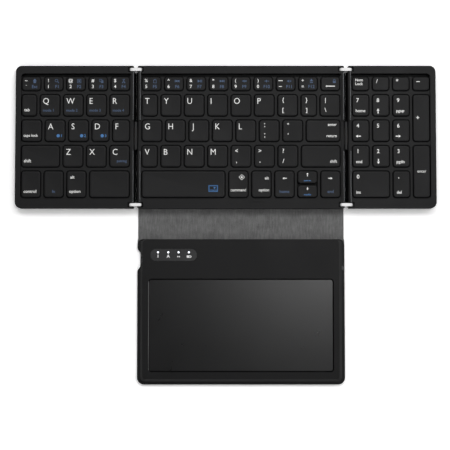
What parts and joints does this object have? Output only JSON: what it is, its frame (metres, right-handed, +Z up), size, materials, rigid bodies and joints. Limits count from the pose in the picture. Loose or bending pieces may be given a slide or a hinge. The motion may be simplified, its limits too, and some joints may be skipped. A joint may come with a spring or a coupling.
{
  "type": "folding keyboard",
  "caption": "Three-panel folding keyboard with number pad and a flip-over touchpad module on a cloth cover, coupled link hinges and pressing keys.",
  "frame": {"origin": "centre of the centre panel's underside, on the desk", "axes": "+X to the user's right, +Y to the rear (away from the user), +Z up"},
  "size_m": [0.3036, 0.2298, 0.0076],
  "materials": {
    "case": "fine matt texture, near black",
    "keycap": "smooth matt, near black, printed legends",
    "cover_cloth": "fine grey woven cloth",
    "rubber": "matt black rubber",
    "steel_plate": "plain rolled steel",
    "membrane_film": "clear film with printed tracks",
    "switch_plastic": "white moulded plastic",
    "link_metal": "bright satin",
    "pin_steel": "polished",
    "guard_plastic": "satin black",
    "flex_film": "amber film",
    "touch_plate": "satin black, faint sheen",
    "circuit_board": "green solder mask",
    "battery_pouch": "satin foil pouch",
    "window_plastic": "glossy black",
    "magnet": "nickel plated"
  },
  "bodies": {
    "centre_panel": {"cover_back": "cover_cloth", "centre_bottom_cover": "case", "centre_top_case": "case", "centre_support_plate": "steel_plate", "centre_membrane": "membrane_film", "centre_key_switches": "switch_plastic"},
    "left_panel": {"left_feet": "rubber", "left_bottom_cover": "case", "left_top_case": "case", "left_support_plate": "steel_plate", "left_membrane": "membrane_film", "left_key_switches": "switch_plastic"},
    "right_panel": {"right_feet": "rubber", "right_bottom_cover": "case", "right_top_case": "case", "right_support_plate": "steel_plate", "right_membrane": "membrane_film", "right_key_switches": "switch_plastic"},
    "left_hinge": {"left_hinge_links": "link_metal", "left_hinge_pins": "pin_steel", "left_cable_guard": "guard_plastic", "left_flex_cable": "flex_film"},
    "right_hinge": {"right_hinge_links": "link_metal", "right_hinge_pins": "pin_steel", "right_cable_guard": "guard_plastic", "right_flex_cable": "flex_film"},
    "cover_fold": {"cover_spine": "cover_cloth"},
    "touchpad_module": {"pad_cover": "cover_cloth", "pad_bottom_shell": "case", "pad_top_frame": "case", "touch_surface": "touch_plate", "touch_sensor_board": "circuit_board", "touch_ribbon": "flex_film", "battery": "battery_pouch", "main_board": "circuit_board", "usb_c_port": "pin_steel", "indicator_window": "window_plastic", "closing_magnets": "magnet"},
    "power_switch": {"power_knob": "guard_plastic"},
    "press_left_number_keys": {"left_number_keys": "keycap"},
    "press_left_qwer_keys": {"left_qwer_keys": "keycap"},
    "press_left_asdf_keys": {"left_asdf_keys": "keycap"},
    "press_left_zxc_keys": {"left_zxc_keys": "keycap"},
    "press_left_tab_caps_keys": {"left_tab_caps_keys": "keycap"},
    "press_left_bottom_keys": {"left_bottom_keys": "keycap"},
    "press_left_shift_key": {"left_shift_key": "keycap"},
    "press_left_space_key": {"left_space_key": "keycap"},
    "press_centre_number_keys": {"centre_number_keys": "keycap"},
    "press_centre_upper_keys": {"centre_upper_keys": "keycap"},
    "press_centre_home_keys": {"centre_home_keys": "keycap"},
    "press_centre_lower_keys": {"centre_lower_keys": "keycap"},
    "press_enter_key": {"enter_key": "keycap"},
    "press_right_shift_key": {"right_shift_key": "keycap"},
    "press_right_space_key": {"right_space_key": "keycap"},
    "press_command_option_keys": {"command_option_keys": "keycap"},
    "press_arrow_keys": {"arrow_keys": "keycap"},
    "press_numpad_top_keys": {"numpad_top_keys": "keycap"},
    "press_numpad_digit_keys": {"numpad_digit_keys": "keycap"},
    "press_numpad_plus_key": {"numpad_plus_key": "keycap"},
    "press_numpad_enter_key": {"numpad_enter_key": "keycap"}
  },
  "joints": [
    {"name": "fold_left_panel", "type": "hinge", "parent": "left_hinge", "child": "left_panel", "pos_m": [-0.0785, 0, 0.00525], "axis": [0, 1, 0], "range_deg": [0, 90], "deforming": ["left_flex_cable"]},
    {"name": "fold_right_panel", "type": "hinge", "parent": "right_hinge", "child": "right_panel", "pos_m": [0.0785, 0, 0.00525], "axis": [0, -1, 0], "range_deg": [0, 90], "deforming": ["right_flex_cable"]},
    {"name": "fold_touchpad", "type": "hinge", "parent": "cover_fold", "child": "touchpad_module", "pos_m": [0, -0.073, 0.00035], "axis": [-1, 0, 0], "range_deg": [0, 90]},
    {"name": "link_left", "type": "hinge", "parent": "centre_panel", "child": "left_hinge", "pos_m": [-0.0735, 0, 0.00525], "axis": [0, 1, 0], "range_deg": [0, 90]},
    {"name": "link_right", "type": "hinge", "parent": "centre_panel", "child": "right_hinge", "pos_m": [0.0735, 0, 0.00525], "axis": [0, -1, 0], "range_deg": [0, 90]},
    {"name": "link_cover", "type": "hinge", "parent": "centre_panel", "child": "cover_fold", "pos_m": [0, -0.0524, 0.00035], "axis": [-1, 0, 0], "range_deg": [0, 90]},
    {"name": "press_left_number_keys", "type": "slide", "parent": "left_panel", "child": "press_left_number_keys", "axis": [0, 0, -1], "range_m": [0, 0.0012], "stiffness_N_per_m": 1500, "springref_m": -0.0007, "deforming": ["left_key_switches"]},
    {"name": "press_left_qwer_keys", "type": "slide", "parent": "left_panel", "child": "press_left_qwer_keys", "axis": [0, 0, -1], "range_m": [0, 0.0012], "stiffness_N_per_m": 1200, "springref_m": -0.0007},
    {"name": "press_left_asdf_keys", "type": "slide", "parent": "left_panel", "child": "press_left_asdf_keys", "axis": [0, 0, -1], "range_m": [0, 0.0012], "stiffness_N_per_m": 1200, "springref_m": -0.0007},
    {"name": "press_left_zxc_keys", "type": "slide", "parent": "left_panel", "child": "press_left_zxc_keys", "axis": [0, 0, -1], "range_m": [0, 0.0012], "stiffness_N_per_m": 900, "springref_m": -0.0007},
    {"name": "press_left_tab_caps_keys", "type": "slide", "parent": "left_panel", "child": "press_left_tab_caps_keys", "axis": [0, 0, -1], "range_m": [0, 0.0012], "stiffness_N_per_m": 600, "springref_m": -0.0007},
    {"name": "press_left_bottom_keys", "type": "slide", "parent": "left_panel", "child": "press_left_bottom_keys", "axis": [0, 0, -1], "range_m": [0, 0.0012], "stiffness_N_per_m": 900, "springref_m": -0.0007},
    {"name": "press_left_shift_key", "type": "slide", "parent": "left_panel", "child": "press_left_shift_key", "axis": [0, 0, -1], "range_m": [0, 0.0012], "stiffness_N_per_m": 300, "springref_m": -0.0007},
    {"name": "press_left_space_key", "type": "slide", "parent": "left_panel", "child": "press_left_space_key", "axis": [0, 0, -1], "range_m": [0, 0.0012], "stiffness_N_per_m": 300, "springref_m": -0.0007},
    {"name": "press_centre_number_keys", "type": "slide", "parent": "centre_panel", "child": "press_centre_number_keys", "axis": [0, 0, -1], "range_m": [0, 0.0012], "stiffness_N_per_m": 2700, "springref_m": -0.0007, "deforming": ["centre_key_switches"]},
    {"name": "press_centre_upper_keys", "type": "slide", "parent": "centre_panel", "child": "press_centre_upper_keys", "axis": [0, 0, -1], "range_m": [0, 0.0012], "stiffness_N_per_m": 2700, "springref_m": -0.0007},
    {"name": "press_centre_home_keys", "type": "slide", "parent": "centre_panel", "child": "press_centre_home_keys", "axis": [0, 0, -1], "range_m": [0, 0.0012], "stiffness_N_per_m": 2100, "springref_m": -0.0007},
    {"name": "press_centre_lower_keys", "type": "slide", "parent": "centre_panel", "child": "press_centre_lower_keys", "axis": [0, 0, -1], "range_m": [0, 0.0012], "stiffness_N_per_m": 2100, "springref_m": -0.0007},
    {"name": "press_enter_key", "type": "slide", "parent": "centre_panel", "child": "press_enter_key", "axis": [0, 0, -1], "range_m": [0, 0.0012], "stiffness_N_per_m": 300, "springref_m": -0.0007},
    {"name": "press_right_shift_key", "type": "slide", "parent": "centre_panel", "child": "press_right_shift_key", "axis": [0, 0, -1], "range_m": [0, 0.0012], "stiffness_N_per_m": 300, "springref_m": -0.0007},
    {"name": "press_right_space_key", "type": "slide", "parent": "centre_panel", "child": "press_right_space_key", "axis": [0, 0, -1], "range_m": [0, 0.0012], "stiffness_N_per_m": 300, "springref_m": -0.0007},
    {"name": "press_command_option_keys", "type": "slide", "parent": "centre_panel", "child": "press_command_option_keys", "axis": [0, 0, -1], "range_m": [0, 0.0012], "stiffness_N_per_m": 600, "springref_m": -0.0007},
    {"name": "press_arrow_keys", "type": "slide", "parent": "centre_panel", "child": "press_arrow_keys", "axis": [0, 0, -1], "range_m": [0, 0.0012], "stiffness_N_per_m": 1200, "springref_m": -0.0007},
    {"name": "press_numpad_top_keys", "type": "slide", "parent": "right_panel", "child": "press_numpad_top_keys", "axis": [0, 0, -1], "range_m": [0, 0.0012], "stiffness_N_per_m": 1200, "springref_m": -0.0007, "deforming": ["right_key_switches"]},
    {"name": "press_numpad_digit_keys", "type": "slide", "parent": "right_panel", "child": "press_numpad_digit_keys", "axis": [0, 0, -1], "range_m": [0, 0.0012], "stiffness_N_per_m": 3300, "springref_m": -0.0007},
    {"name": "press_numpad_plus_key", "type": "slide", "parent": "right_panel", "child": "press_numpad_plus_key", "axis": [0, 0, -1], "range_m": [0, 0.0012], "stiffness_N_per_m": 300, "springref_m": -0.0007},
    {"name": "press_numpad_enter_key", "type": "slide", "parent": "right_panel", "child": "press_numpad_enter_key", "axis": [0, 0, -1], "range_m": [0, 0.0012], "stiffness_N_per_m": 300, "springref_m": -0.0007},
    {"name": "slide_power_knob", "type": "slide", "parent": "touchpad_module", "child": "power_switch", "axis": [0, -1, 0], "range_m": [0, 0.002]}
  ],
  "couplings": [
    {"joint": "link_left", "follows": "fold_left_panel", "ratio": 1},
    {"joint": "link_right", "follows": "fold_right_panel", "ratio": 1},
    {"joint": "link_cover", "follows": "fold_touchpad", "ratio": 1}
  ]
}
